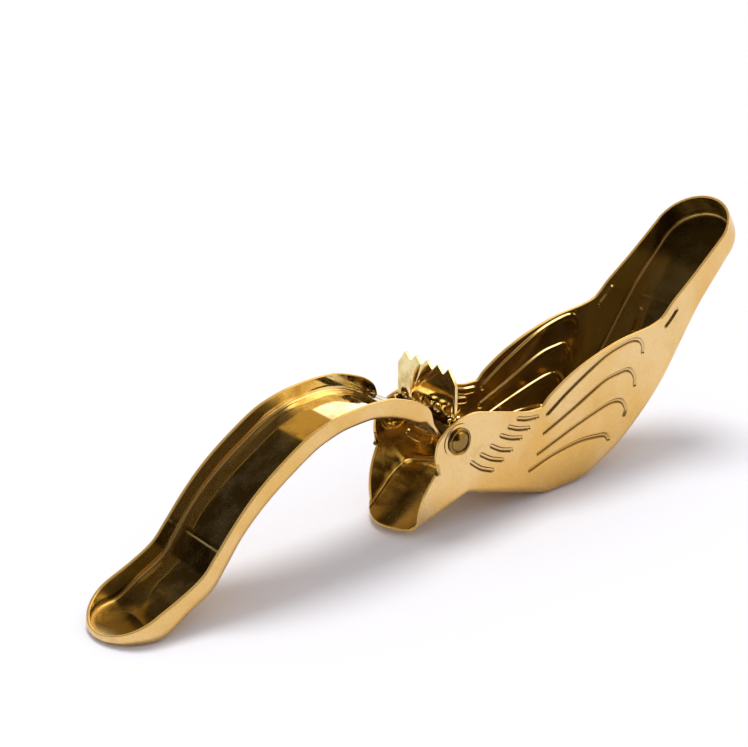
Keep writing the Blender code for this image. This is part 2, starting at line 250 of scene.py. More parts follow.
# what the metal mirrors, the later ones on top: direction, nearness to it (the cosine) where the light
# starts and where it is full, colour
DARK_ROOM = (0.062, 0.040, 0.012)
MIRRORED_LIGHTS = [
    ((-0.40, 0.85, 0.34), 0.80, 0.97, (0.022, 0.014, 0.005)),     # dim corner
    ((0.816, 0.571, 0.087), 0.49, 0.54, (0.55, 0.33, 0.08)),      # warm wall round the window
    ((0.816, 0.571, 0.087), 0.83, 0.86, (2.3, 2.2, 2.0)),         # window
    ((0.657, -0.729, 0.191), 0.78, 0.93, (1.15, 0.95, 0.62)),     # bright wall in front
    ((-0.39, -0.66, 0.64), 0.95, 0.98, (0.07, 0.05, 0.022)),      # faint panels
    ((-0.1, -0.48, 0.87), 0.955, 0.975, (0.2, 0.155, 0.08)),
    ((0.55, -0.33, 0.76), 0.90, 0.95, (2.6, 2.4, 2.1)),           # soft panel overhead
]
PALE_TABLE = (1.0, 0.99, 0.98)
TABLE_EDGE = -0.03          # height of a direction from which the mirrored table is full
AMBIENT = (0.62, 0.64, 0.71)
LAMP_DIRECTION = (0.14, 0.24, 1.0)
LAMP_STRENGTH = 1.9
LAMP_ANGLE = math.radians(26)

CAMERA_AZIMUTH = math.radians(-39.27)
CAMERA_ELEVATION = math.radians(21.59)
CAMERA_FROM_HINGE = Vector((-0.2435, -0.2764, 0.1604))
CAMERA_LENS = 72.64
CAMERA_SENSOR = 36.0


def world(points):
    """Millimetres from the hinge axis to metres in the frame."""
    return np.asarray(points, float) * MM + HINGE


def unit(vectors):
    """Vectors with their length set to 1."""
    return vectors / np.maximum(np.linalg.norm(vectors, axis=-1, keepdims=True), 1e-9)


def eased(t):
    """0 to 1 with level ends."""
    return t * t * (3 - 2 * t)


def ramp(values, start, end):
    """0 before start, 1 past end and straight between them; end may lie below start."""
    return np.clip((values - start) / (end - start), 0, 1)


# ---------------------------------------------------------------- curves

def slopes(values):
    """Tangents that never overshoot: zero at a turning point, harmonic mean elsewhere."""
    steps = np.diff(values)
    inner = [2 * a * b / (a + b) if a * b > 0 else 0.0 for a, b in zip(steps, steps[1:])]
    return np.array([steps[0], *inner, steps[-1]])


def smooth_rows(rows, spacing, level_end=False):
    """Rows of numbers with smooth ones added between them; the last column is the row's number."""
    table = np.column_stack([np.array(rows, float), np.arange(len(rows))])
    tangents = np.array([slopes(column) for column in table.T]).T
    if level_end:
        tangents[-1, 3] = 0.0
    made = []
    for i in range(len(table) - 1):
        rim_step = np.hypot(*(table[i + 1, 0:2] - table[i, 0:2]))
        low_step = np.hypot(*(table[i + 1, 2:4] - table[i, 2:4]))
        count = max(4, math.ceil(max(rim_step, low_step) / spacing))
        for t in np.arange(count) / count:
            rise = eased(t)
            made.append(table[i] * (1 - rise) + table[i + 1] * rise
                        + tangents[i] * t * (1 - t) ** 2 - tangents[i + 1] * t * t * (1 - t))
    made.append(table[-1])
    return np.array(made)


def smooth_line(points, step=0.12):
    """Points close together on a smooth curve through a few given ones."""
    given = np.array(points, float)
    padded = np.vstack([2 * given[0] - given[1], given, 2 * given[-1] - given[-2]])
    line = []
    for a, b, c, d in zip(padded, padded[1:], padded[2:], padded[3:]):
        count = max(2, int(np.linalg.norm(c - b) / step))
        for t in np.arange(count) / count:
            line.append(0.5 * (2 * b + (c - a) * t + (2 * a - 5 * b + 4 * c - d) * t ** 2
                               + (3 * b - a - 3 * c + d) * t ** 3))
    line.append(given[-1])
    return np.array(line)


def smooth_along(vectors, passes=3):
    """Unit vectors along a line, evened out between neighbours."""
    for _ in range(passes):
        before = np.vstack([vectors[:1], vectors[:-1]])
        after = np.vstack([vectors[1:], vectors[-1:]])
        vectors = unit(before + 2 * vectors + after)
    return vectors


def distance_to(strokes, places):
    """Distance from each (x, z) place to the nearest stroke."""
    nearest = np.full(len(places), 1e9)
    for stroke in strokes:
        line = smooth_line(stroke)
        low = line.min(0) - STROKE_REACH
        high = line.max(0) + STROKE_REACH
        near = np.where(np.all((places > low) & (places < high), axis=1))[0]
        if len(near):
            away = np.linalg.norm(places[near, None] - line[None], axis=2).min(1)
            nearest[near] = np.minimum(nearest[near], away)
    return nearest


def hump(distance, half):
    """1 in the middle, falling smoothly to 0 at half."""
    return np.where(distance < half, 0.5 + 0.5 * np.cos(np.pi * np.minimum(distance / half, 1)), 0.0)


def trough(distance, half):
    """1 across a flat bottom, with sloping sides that reach 0 at half."""
    return eased(ramp(distance, half, half - STROKE_WALL))


# ---------------------------------------------------------------- pressed sheet

def half_sections(rim, corner, middle, radius, counts, bulge=None, fold=None, reach=None, dish=False):
    """Outer surface of the near half: one row for each section, columns from rim to middle.

    A section's corner takes radius from its wall and reach, or the same, from its floor. With dish,
    the floor starts level and rises to its middle in an S.
    """
    wall_points, corner_points, floor_points = counts
    rows = len(rim)
    bulge = np.zeros(rows) if bulge is None else bulge
    fold = np.zeros(rows) if fold is None else fold
    up = unit(rim - corner)
    across = unit(middle - corner)
    height = np.linalg.norm(rim - corner, axis=1, keepdims=True)
    radius = np.minimum(radius, 0.6 * height)
    rim = rim - up * np.minimum(EDGE, 0.2 * height)
    wall_foot = corner + up * radius
    floor_start = corner + across * (radius if reach is None else reach[:, None])
    if dish:
        floor_start[:, 2] = corner[:, 2]
    t = (np.arange(wall_points) / wall_points)[None, :, None]
    wall = rim[:, None] * (1 - t) + wall_foot[:, None] * t
    wall[:, :, 0] -= bulge[:, None] * 4 * (t * (1 - t))[:, :, 0]
    t = (np.arange(corner_points) / corner_points)[None, :, None]
    bend = wall_foot[:, None] * (1 - t) ** 2 + floor_start[:, None] * t * t
    bend = bend + corner[:, None] * 2 * t * (1 - t)
    t = np.linspace(0, 1, floor_points + 1)[None, :]
    crowned = 1 - (1 - t) ** 2
    rise = eased(t) if dish else fold[:, None] * t + (1 - fold[:, None]) * crowned
    floor = floor_start[:, None] * (1 - t[..., None]) + middle[:, None] * t[..., None]
    floor[:, :, 2] = floor_start[:, None, 2] + (middle - floor_start)[:, None, 2] * rise
    floor[:, :, 0] = floor_start[:, None, 0] + (middle - floor_start)[:, None, 0] * crowned
    return np.concatenate([wall, bend, floor], axis=1)


def fan_rows(last, radius, slope, low_slope, steps):
    """Rim, corner and middle points of sections that turn about the middle of a round end."""
    rim_x, rim_z, low_x, low_z = last[:4]
    turn = math.pi / 2 * np.arange(1, steps + 1) / steps
    flat = np.zeros(steps)
    side = np.column_stack([flat, -np.cos(turn), flat])
    side[-1, 1] = 0.0
    along = np.outer(np.sin(turn), (math.cos(slope), 0, math.sin(slope)))
    low_along = np.outer(np.sin(turn), (math.cos(low_slope), 0, math.sin(low_slope)))
    rim = np.array([rim_x, 0, rim_z]) + (side + along) * radius
    corner = np.array([low_x, 0, low_z]) + (side + low_along) * radius
    middle = np.tile([low_x, 0.0, low_z], (steps, 1))
    return rim, corner, middle


def grid_normals(grid, inward, fan):
    """Unit normals of a grid, towards the inward point; the last fan rows share their middle one."""
    normals = unit(np.cross(np.gradient(grid, axis=0), np.gradient(grid, axis=1)))
    weak = np.linalg.norm(normals, axis=2) < 0.5
    normals[weak] = np.roll(normals, 1, axis=1)[weak]
    toward = np.asarray(inward, float) - grid[len(grid) // 2, 0]
    if np.dot(normals[len(grid) // 2, 0], toward) < 0:
        normals = -normals
    normals[:, -1, 1] = 0
    normals[-1, :, 1] = 0
    normals[-fan:, -1] = normals[-fan - 1, -1]
    return unit(normals)


def edge_height(line, corner):
    """How far the rounded edge stands past each point of a line, less near the outline's corner."""
    away = np.linalg.norm(line - corner, axis=1, keepdims=True)
    return EDGE * np.clip(CORNER_EDGE + away / CORNER_RUN, 0, 1)


def rim_band(outer, middle):
    """Points over the rounded edge of the rim, from the outer surface to the inner one."""
    up = unit(middle[:, 0] - middle[:, 2]) * edge_height(middle[:, 0], middle[0, 0])
    half = outer[:, 0] - middle[:, 0]
    return np.stack([middle[:, 0] + half * math.cos(a) + up * math.sin(a) for a in RIM_ANGLES], axis=1)


def end_band(loop, core, corner):
    """Points over the rounded edge of the first section, from its crest to the outer surface."""
    start = core[0]
    half = loop[0] - start
    out = unit(np.cross(np.gradient(start, axis=0), half))
    inward = np.sum(out * (start - core[FURTHER_ON]), axis=1, keepdims=True) < 0
    out = smooth_along(np.where(inward, -out, out))
    out[[0, -1], 1] = 0.0
    out = out * edge_height(start, corner)
    return np.array([start + half * math.cos(a) + out * math.sin(a) for a in LIP_ANGLES])


def over_loop(mask, band, lips):
    """A mask of the section grid, laid over the whole loop with its rounded edges."""
    loop = np.concatenate([mask[:, ::-1], np.zeros((len(mask), band)), mask], axis=1)
    return np.concatenate([np.repeat(loop[:1], lips, axis=0), loop])


def mirrored_mesh(name, grid, inside_from, masks):
    """The mesh of a grid of points and its mirror image, welded where they meet."""
    rows, columns = grid.shape[:2]
    near = grid.reshape(-1, 3)
    points = np.round(np.vstack([near, near * (1, -1, 1)]), 5) + 0.0
    kept, first, where = np.unique(points, axis=0, return_index=True, return_inverse=True)
    where = where.reshape(-1)
    index = np.arange(rows * columns).reshape(rows, columns)
    quads = np.stack([index[:-1, :-1], index[1:, :-1], index[1:, 1:], index[:-1, 1:]], axis=-1)
    inside = np.broadcast_to(np.arange(columns - 1) >= inside_from, quads.shape[:2]).reshape(-1)
    quads = quads.reshape(-1, 4)
    both = where[np.vstack([quads, quads[:, ::-1] + len(near)])]
    faces = []
    slots = []
    for corners, slot in zip(both.tolist(), [*inside.tolist(), *inside.tolist()]):
        corners = list(dict.fromkeys(corners))
        if len(corners) > 2:
            faces.append(corners)
            slots.append(int(slot))
    mesh = bpy.data.meshes.new(name)
    mesh.from_pydata(world(kept), [], faces)
    mesh.polygons.foreach_set("material_index", slots)
    for label, mask in masks.items():
        values = np.concatenate([mask.reshape(-1)] * 2)[first]
        mesh.attributes.new(label, "FLOAT", "POINT").data.foreach_set("value", values.astype(np.float32))
    return mesh


def sheet_piece(name, outer, inner, counts, marks, dull):
    """A closed sheet with round edges from the grids of its near half, mirrored and welded."""
    middle = (outer + inner) / 2
    band = rim_band(outer, middle)
    band_columns = band.shape[1]
    band_middle = np.repeat(middle[:, :1], band_columns, axis=1)
    loop = np.concatenate([outer[:, ::-1], band, inner], axis=1)
    core = np.concatenate([middle[:, ::-1], band_middle, middle], axis=1)
    lips = end_band(loop, core, middle[0, 0])
    loop = np.concatenate([lips, loop])

    rows, columns = loop.shape[:2]
    rim = outer.shape[1] + band_columns // 2
    bend = outer.shape[1] + band_columns + counts[0] + counts[1] / 2
    worn = np.tile(ramp(np.abs(np.arange(columns) - rim), *RIM_WEAR), (rows, 1))
    worn[:len(lips) + 1] = 1.0
    masks = {
        "pressed": over_loop(marks, band_columns, len(lips)),
        "worn": worn,
        "dull": over_loop(dull, band_columns, len(lips)),
        # a painted highlight along the bend between wall and floor
        "corner": np.tile(hump(np.abs(np.arange(columns) - bend), counts[1] / 4), (rows, 1)),
    }
    mesh = mirrored_mesh(name, loop, rim + 1, masks)
    face_outwards(mesh)
    mesh.shade_smooth()
    return placed(name, mesh)


def face_outwards(mesh):
    """Turn the faces of a closed mesh outwards."""
    bm = bmesh.new()
    bm.from_mesh(mesh)
    bmesh.ops.recalc_face_normals(bm, faces=bm.faces)
    if bm.calc_volume(signed=True) < 0:
        bmesh.ops.reverse_faces(bm, faces=bm.faces)
    bm.to_mesh(mesh)
    bm.free()


def placed(name, mesh):
    """A new piece with a mesh, in the scene."""
    piece = bpy.data.objects.new(name, mesh)
    bpy.context.scene.collection.objects.link(piece)
    return piece


def piece_from(name, bm):
    """A new piece from a finished bmesh, in the scene."""
    mesh = bpy.data.meshes.new(name)
    bm.to_mesh(mesh)
    bm.free()
    return placed(name, mesh)


def apply_modifiers(piece):
    """Replace a piece's mesh by its evaluated one."""
    bpy.context.view_layer.update()
    evaluated = piece.evaluated_get(bpy.context.evaluated_depsgraph_get())
    mesh = bpy.data.meshes.new_from_object(evaluated)
    piece.modifiers.clear()
    piece.data = mesh


def cut_with(piece, cutter, operation="DIFFERENCE", solver="EXACT"):
    """Cut a piece with another, or join the two, and remove the other."""
    boolean = piece.modifiers.new("cut", "BOOLEAN")
    boolean.operation = operation
    boolean.solver = solver
    boolean.object = cutter
    apply_modifiers(piece)
    bpy.data.objects.remove(cutter, do_unlink=True)


def cylinder(name, radius, length, centre, axis, segments=64):
    """A cylinder along an axis, its centre given in millimetres from the hinge."""
    bm = bmesh.new()
    bmesh.ops.create_cone(bm, cap_ends=True, segments=segments, radius1=radius * MM, radius2=radius * MM,
                          depth=length * MM)
    turn = Vector((0, 0, 1)).rotation_difference(Vector(axis)).to_matrix()
    bmesh.ops.rotate(bm, verts=bm.verts, cent=(0, 0, 0), matrix=turn)
    bmesh.ops.translate(bm, verts=bm.verts, vec=Vector(world(centre)))
    return piece_from(name, bm)


def add_creases(grids, normals, creases, low_x, start):
    """Raise or sink narrow lines across the floors, whose columns begin at start."""
    outer = grids[0]
    half = np.maximum(np.abs(outer[:, start, 1]), 1.0)[:, None]
    fade = np.clip(1 + CREASE_MARGIN - (np.abs(outer[:, start:, 1]) / half) ** CREASE_FADE, 0, 1)
    for place, height in creases:
        line = hump(np.abs(low_x - place), CREASE_HALF)[:, None]
        for grid in grids:
            grid[:, start:] += normals[:, start:] * (height * line * fade)[..., None]


def press_strokes(grid, wall_points, grow):
    """Sink the feather strokes and the eye's ring into the side wall; returns the mask of painted shade
    along the strokes.
    """
    strokes = NECK_DASHES + WING_FEATHERS + TAIL_DASH
    places = grid[:, :wall_points][..., (0, 2)].reshape(-1, 2)
    away = distance_to(strokes, places)
    ring = np.abs(np.linalg.norm(places, axis=1) - EYE_DISH)
    pressed = STROKE_DEPTH * trough(away, STROKE_HALF + grow)
    pressed = pressed + EYE_DISH_DEPTH * hump(ring, EYE_DISH_HALF + grow)
    grid[:, :wall_points, 1] += pressed.reshape(-1, wall_points)
    # painted shade: a dark line along the lower side of each stroke, a fainter one round its outline
    lower_lip = hump(distance_to(strokes, places - LIP_SHIFT), LIP_HALF)
    outline = hump(np.abs(away - STROKE_HALF + STROKE_WALL / 2), OUTLINE_HALF)
    marks = np.zeros(grid.shape[:2])
    marks[:, :wall_points] = np.maximum(lower_lip, OUTLINE_SHARE * outline).reshape(-1, wall_points)
    return marks


def body_shell():
    """The bird: beak, cheeks, belly trough and tail handle, bent from one sheet."""
    rows = smooth_rows(BODY_SECTIONS, BODY_SPACING)
    rim_x, rim_z, low_x, low_z, rim_half, low_half, rise, number = rows.T
    beak = np.maximum(0, 1 - number / (BEAK_SECTIONS - 1))
    rim = np.column_stack([rim_x, -rim_half, rim_z])
    corner = np.column_stack([low_x, -low_half, low_z])
    middle = np.column_stack([low_x - BEAK_POINT * beak, np.zeros(len(rows)), low_z + rise])
    body = half_sections(rim, corner, middle, BODY_CORNER, BODY_GRID, BEAK_BULGE * beak ** 2, beak)
    end = half_sections(*fan_rows(BODY_SECTIONS[-1], TAIL_HALF, TAIL_SLOPE, TAIL_SLOPE, FAN_ROWS),
                        BODY_CORNER, BODY_GRID)
    outer = np.concatenate([body, end])
    normals = grid_normals(outer, BODY_INSIDE, len(end))
    inner = outer + normals * SHEET
    floor_x = np.concatenate([low_x, np.full(len(end), FAR)])
    add_creases((outer, inner), normals, TAIL_CREASES, floor_x, BODY_GRID[0] + BODY_GRID[1])
    marks = press_strokes(outer, BODY_GRID[0], 0.0)
    press_strokes(inner, BODY_GRID[0], INNER_GROW)
    throat = THROAT_SHARE * ramp(inner[..., 0], *THROAT_X) * ramp(inner[..., 2], *THROAT_Z)
    dull = np.maximum(throat, ramp(inner[..., 0], *TAIL_END_X))
    piece = sheet_piece("bird_shell", outer, inner, BODY_GRID, marks, dull)
    drill = cylinder("eye_drill", HOLE_RADIUS, 4 * BODY_HALF, (0, 0, 0), (0, 1, 0))
    cut_with(piece, drill, solver="MANIFOLD")
    piece.data.shade_smooth()
    return piece


def lever_dullness(inner):
    """Where the lever's floor is darker and rougher: the thumb rest, and a patch across the bend before it.
    """
    along = inner[..., 0]
    thumb_rest = ramp(along, *THUMB_REST_X) * ramp(along, *THUMB_REST_TIP_X)
    dark_patch = ramp(np.abs(along - DARK_PATCH_X), *DARK_PATCH_FADE) * ramp(np.abs(inner[..., 1]), *DARK_PATCH_SIDE)
    dull = np.maximum(thumb_rest, dark_patch)
    dull[:, :LEVER_GRID[0]] = 0
    return dull


def lever_shell():
    """The arched lever: a channel from the hinge down to the thumb rest."""
    rows = smooth_rows(LEVER_SECTIONS, LEVER_SPACING, level_end=True)
    rim_x, rim_z, low_x, low_z = rows.T[:4]
    flat = np.zeros(len(rows))
    rim = np.column_stack([rim_x, flat - LEVER_HALF, rim_z])
    corner = np.column_stack([low_x, flat - LEVER_HALF, low_z])
    dome = LEVER_DOME * eased(ramp(low_x, LEVER_DOME_X, low_x[-1]))
    middle = np.column_stack([low_x, flat, low_z + dome])
    channel = half_sections(rim, corner, middle, LEVER_CORNER, LEVER_GRID, dish=True)
    reach = np.linspace(LEVER_CORNER, LEVER_TIP_REACH, FAN_ROWS)
    rim, corner, middle = fan_rows(LEVER_SECTIONS[-1], LEVER_HALF, LEVER_SLOPE, math.pi, FAN_ROWS)
    middle[:, 2] += LEVER_DOME
    end = half_sections(rim, corner, middle, LEVER_CORNER, LEVER_GRID, reach=reach, dish=True)
    outer = np.concatenate([channel, end])
    normals = grid_normals(outer, LEVER_INSIDE, len(end))
    inner = outer + normals * SHEET
    floor_x = np.concatenate([low_x, np.full(len(end), FAR)])
    add_creases((outer, inner), normals, LEVER_CREASES, floor_x, LEVER_GRID[0] + LEVER_GRID[1])
    clean = np.zeros(outer.shape[:2])
    return sheet_piece("lever_shell", outer, inner, LEVER_GRID, clean, lever_dullness(inner))


# ---------------------------------------------------------------- strainer

def rounded(corners, radius, steps=5):
    """A closed outline with its sharp corners rounded."""
    made = []
    count = len(corners)
    for i in range(count):
        here = np.array(corners[i], float)
        before = np.array(corners[i - 1], float) - here
        after = np.array(corners[(i + 1) % count], float) - here
        reach = min(radius, 0.45 * np.linalg.norm(before), 0.45 * np.linalg.norm(after))
        start = here + before / np.linalg.norm(before) * reach
        end = here + after / np.linalg.norm(after) * reach
        for t in np.linspace(0, 1, steps):
            made.append(start * (1 - t) ** 2 + here * 2 * t * (1 - t) + end * t * t)
    return made


def slab(name, outline, place, thickness_along):
    """A flat piece: outline points turned into space by place(), thickened along a direction."""
    bm = bmesh.new()
    low = [bm.verts.new(world(place(p))) for p in outline]
    face = bm.faces.new(low)
    grown = bmesh.ops.extrude_face_region(bm, geom=[face])
    moved = [item for item in grown["geom"] if isinstance(item, bmesh.types.BMVert)]
    bmesh.ops.translate(bm, verts=moved, vec=Vector(thickness_along) * MM)
    bmesh.ops.recalc_face_normals(bm, faces=bm.faces)
    return piece_from(name, bm)


def comb_outline():
    """The comb from its foot up: shoulders, and teeth between them."""
    outline = [(-COMB_HALF, COMB_FOOT_Z), (-COMB_HALF, SHOULDER_Z)]
    for k in range(TEETH):
        tip = TOOTH_PITCH * (k - TEETH // 2)
        outline.append((tip, TIP_Z))
        if k < TEETH - 1:
            outline.append((tip + TOOTH_PITCH * TOOTH_VALLEY, TIP_Z - TOOTH_DEPTH))
    outline += [(COMB_HALF, SHOULDER_Z), (COMB_HALF, COMB_FOOT_Z)]
    return rounded(outline, COMB_ROUND)


def foot_strip():
    """Side outline of the foot: down from the comb, round the valley and up the lever's floor."""
    floor = smooth_rows(LEVER_SECTIONS, 1.0)[:, 2:4]
    tangent = unit(np.gradient(floor, axis=0))
    lifted = floor + np.column_stack([tangent[:, 1], -tangent[:, 0]]) * (1.5 * SHEET + GAP)
    lifted = [p for p in lifted if FOOT_END_X < p[0] < VALLEY[-1][0] - FOOT_BLEND]
    top = (COMB_X, COMB_FOOT_Z + FOOT_OVERLAP)
    line = smooth_line([top, (COMB_X, COMB_FOOT_Z), *VALLEY, *lifted[::3]], FOOT_STEP)
    tangent = unit(np.gradient(line, axis=0))
    side = np.column_stack([tangent[:, 1], -tangent[:, 0]]) * SHEET / 2
    return [*(line + side), *(line - side)[::-1]]


def ear_outline():
    """The ear round the rivet, with a flat top that meets the comb."""
    start = math.acos(EAR_BACK / EAR_RADIUS)
    end = math.acos(EAR_FRONT / EAR_RADIUS) - 2 * math.pi
    points = [(EAR_FRONT, EAR_TOP_Z), (EAR_BACK, EAR_TOP_Z)]
    for angle in np.linspace(start, end, 49):
        points.append((EAR_RADIUS * math.cos(angle), EAR_RADIUS * math.sin(angle)))
    return points


def shade_holes(piece):
    """Give the walls of the drain holes the second material, which carries painted shade."""
    for face in piece.data.polygons:
        x, y, z = (np.array(face.center) - HINGE) / MM
        hole = TOOTH_PITCH * np.clip(round(y / TOOTH_PITCH), -(TEETH // 2), TEETH // 2)
        near_hole = math.hypot(y - hole, z - DRAIN_Z) < DRAIN_RADIUS + DRAIN_RIM
        face.material_index = int(near_hole and abs(x - COMB_X) < 1)


def strainer():
    """The comb, its foot and its two ears, joined, drilled and with softened edges."""
    piece = slab("strainer_comb", comb_outline(), lambda p: (COMB_X - SHEET / 2, p[0], p[1]), (SHEET, 0, 0))
    foot = slab("foot", foot_strip(), lambda p: (p[0], -FOOT_HALF, p[1]), (0, 2 * FOOT_HALF, 0))
    cut_with(piece, foot, "UNION")
    for side in (-1, 1):
        inner = side * (EAR_OUT - SHEET)
        ear = slab("ear", ear_outline(), lambda p: (p[0], inner, p[1]), (0, side * SHEET, 0))
        cut_with(piece, ear, "UNION")
        cut_with(piece, cylinder("ear_drill", HOLE_RADIUS, 3, (0, side * EAR_OUT, 0), (0, 1, 0), 48))
    for k in range(TEETH):
        hole = (COMB_X, TOOTH_PITCH * (k - TEETH // 2), DRAIN_Z)
        cut_with(piece, cylinder("drain", DRAIN_RADIUS, 6, hole, (1, 0, 0), 48))
    bevel = piece.modifiers.new("round_edges", "BEVEL")
    bevel.width = COMB_BEVEL * MM
    bevel.segments = 3
    bevel.limit_method = "ANGLE"
    bevel.angle_limit = math.radians(40)
    apply_modifiers(piece)
    piece.data.shade_smooth()
    piece.data.set_sharp_from_angle(angle=SHARP_ANGLE)
    shade_holes(piece)
    return piece


# ---------------------------------------------------------------- rivets and spacers

def lathe(name, profile, side, steps=96):
    """A round piece on the hinge axis from its (radius, distance from the middle plane) profile."""
    bm = bmesh.new()
    points = [bm.verts.new(Vector((radius, side * away, 0)) * MM) for radius, away in profile]
    edges = [bm.edges.new(pair) for pair in zip(points, points[1:])]
    if profile[0][0] > 0:
        edges.append(bm.edges.new((points[-1], points[0])))
    bmesh.ops.spin(bm, geom=points + edges, cent=(0, 0, 0), axis=(0, 1, 0), angle=2 * math.pi,
                   steps=steps, use_merge=True)
    bmesh.ops.remove_doubles(bm, verts=bm.verts, dist=1e-6)
    bmesh.ops.recalc_face_normals(bm, faces=bm.faces)
    bmesh.ops.translate(bm, verts=bm.verts, vec=Vector(HINGE))
    piece = piece_from(name, bm)
    piece.data.shade_smooth()
    piece.data.set_sharp_from_angle(angle=SHARP_ANGLE)
    return piece


def arc_points(centre, radius, start, end, steps):
    """Points along an arc between two angles in degrees."""
    return [(centre[0] + radius * math.cos(a), centre[1] + radius * math.sin(a))
            for a in np.radians(np.linspace(start, end, steps))]


def rivet_profile():
    """Domed head in a rolled ring, the shank, and the tail formed inside the ear."""
    face = BODY_HALF + GAP
    tail = EAR_OUT - SHEET - GAP
    dome_radius = (DOME_EDGE ** 2 + DOME_RISE ** 2) / (2 * DOME_RISE)
    spread = math.degrees(math.asin(DOME_EDGE / dome_radius))
    top = face + DOME_STEP + DOME_RISE
    dome = arc_points((0, top - dome_radius), dome_radius, 90, 90 - spread, 14)
    dome[0] = (0.0, top)
    groove = [(DOME_EDGE + 0.02, face + 0.28), (DOME_EDGE + 0.15, face + 0.24)]
    ring = arc_points((RING_MIDDLE, face + 0.27), RING_RADIUS, 165, 0, 12)
    head_edge = [(EYE_RADIUS, face + 0.12), (EYE_RADIUS - 0.08, face)]
    neck = [(SHANK_RADIUS, face), (SHANK_RADIUS, tail)]
    formed = [(FORMED_RADIUS - 0.2, tail)]
    for inward, share in ((0, 0.14), (0, 0.41), (0.15, 0.71), (0.5, 0.92), (1.1, 1), (FORMED_RADIUS, 1)):
        formed.append((FORMED_RADIUS - inward, tail - share * FORMED_HEIGHT))
    return dome + groove + ring + head_edge + neck + formed


def spacer_profile():
    """A plain ring with softened edges, between the ear and the cheek."""
    near = EAR_OUT + GAP
    far = BODY_HALF - SHEET - GAP
    soft = SPACER_SOFT
    return [
        (HOLE_RADIUS, near + soft), (HOLE_RADIUS + soft, near), (SPACER_RADIUS - soft, near),
        (SPACER_RADIUS, near + soft), (SPACER_RADIUS, far - soft), (SPACER_RADIUS - soft, far),
        (HOLE_RADIUS + soft, far), (HOLE_RADIUS, far - soft),
    ]


# ---------------------------------------------------------------- materials

class Nodes:
    """Short calls for building the nodes of a material or of the surroundings."""

    def __init__(self, owner, coordinates="Object"):
        self.owner = owner
        owner.use_nodes = True
        self.tree = owner.node_tree
        self.shader = self.tree.nodes.get("Principled BSDF")
        self.place = self.tree.nodes.new("ShaderNodeTexCoord").outputs[coordinates]

    def link(self, output, node, socket):
        self.tree.links.new(output, node.inputs[socket])

    def stretched(self, scale):
        node = self.tree.nodes.new("ShaderNodeMapping")
        node.inputs["Scale"].default_value = scale
        self.link(self.place, node, "Vector")
        return node.outputs["Vector"]

    def noise(self, scale, detail, roughness, vector=None, distortion=0.0):
        node = self.tree.nodes.new("ShaderNodeTexNoise")
        node.inputs["Scale"].default_value = scale
        node.inputs["Detail"].default_value = detail
        node.inputs["Roughness"].default_value = roughness
        node.inputs["Distortion"].default_value = distortion
        self.link(vector or self.place, node, "Vector")
        return node.outputs["Fac"]

    def attribute(self, name):
        node = self.tree.nodes.new("ShaderNodeAttribute")
        node.attribute_name = name
        return node.outputs["Fac"]

    def between(self, value, low, high, out_low=0.0, out_high=1.0, kind="LINEAR"):
        node = self.tree.nodes.new("ShaderNodeMapRange")
        node.interpolation_type = kind
        node.inputs["From Min"].default_value = low
        node.inputs["From Max"].default_value = high
        node.inputs["To Min"].default_value = out_low
        node.inputs["To Max"].default_value = out_high
        self.link(value, node, "Value")
        return node.outputs["Result"]

    def math(self, operation, a, b):
        node = self.tree.nodes.new("ShaderNodeMath")
        node.operation = operation
        for socket, value in ((0, a), (1, b)):
            if isinstance(value, (int, float)):
                node.inputs[socket].default_value = value
            else:
                self.link(value, node, socket)
        return node.outputs[0]

    def toward(self, direction):
        """How far the looked-up direction leans towards a given one, from -1 to 1."""
        node = self.tree.nodes.new("ShaderNodeVectorMath")
        node.operation = "DOT_PRODUCT"
        node.inputs[1].default_value = Vector(direction).normalized()
        self.link(self.place, node, 0)
        return node.outputs["Value"]

    def mix(self, fac, a, b):
        node = self.tree.nodes.new("ShaderNodeMix")
        node.data_type = "RGBA"
        self.link(fac, node, 0)
        for socket, value in ((6, a), (7, b)):
            if isinstance(value, tuple):
                node.inputs[socket].default_value = (*value, 1)
            else:
                self.link(value, node, socket)
        return node.outputs[2]

    def bump(self, height, distance, strength=1.0, after=None):
        node = self.tree.nodes.new("ShaderNodeBump")
        node.inputs["Distance"].default_value = distance
        node.inputs["Strength"].default_value = strength
        self.link(height, node, "Height")
        if after:
            self.link(after, node, "Normal")
        return node.outputs["Normal"]


def outside_gold(name):
    """Satin outside of the sheet: fine grain, faint blotches, painted shade along the pressed strokes."""
    n = Nodes(bpy.data.materials.new(name))
    worn = n.attribute("worn")
    broad = n.noise(38, 4, 0.5)
    blotch = n.noise(190, 6, 0.6, distortion=0.3)
    grain = n.noise(5200, 2, 0.5)
    fine = n.noise(1300, 4, 0.7)
    colour = n.mix(n.between(broad, 0.4, 0.62), PALE_GOLD, WARM_GOLD)
    colour = n.mix(n.between(blotch, 0.58, 0.8, 0, 0.4), colour, DEEP_GOLD)
    colour = n.mix(n.between(fine, 0.5, 0.75, 0, 0.3), colour, DEEP_GOLD)
    # painted shade along the strokes, from the pressed mask
    colour = n.mix(n.between(n.attribute("pressed"), 0.1, 0.8, 0, 0.93), colour, PAINTED_SHADE)
    colour = n.mix(n.between(worn, 0.2, 1.0, 0, 0.6), colour, SCUFF_AND_SHEEN_GOLD)
    n.link(colour, n.shader, "Base Color")
    n.link(n.between(worn, 0, 1, 1, 0.55), n.shader, "Metallic")
    n.shader.inputs["Specular IOR Level"].default_value = 0.1
    rough = n.math("ADD", n.between(blotch, 0.3, 0.75, 0.2, 0.3), n.between(grain, 0.3, 0.7, -0.03, 0.05))
    n.link(rough, n.shader, "Roughness")
    lines = n.noise(420, 3, 0.6, n.stretched((1, 9, 9)))
    normal = n.bump(grain, 0.00001, 0.35)
    n.link(n.bump(lines, 0.00003, 0.25, normal), n.shader, "Normal")
    return n.owner


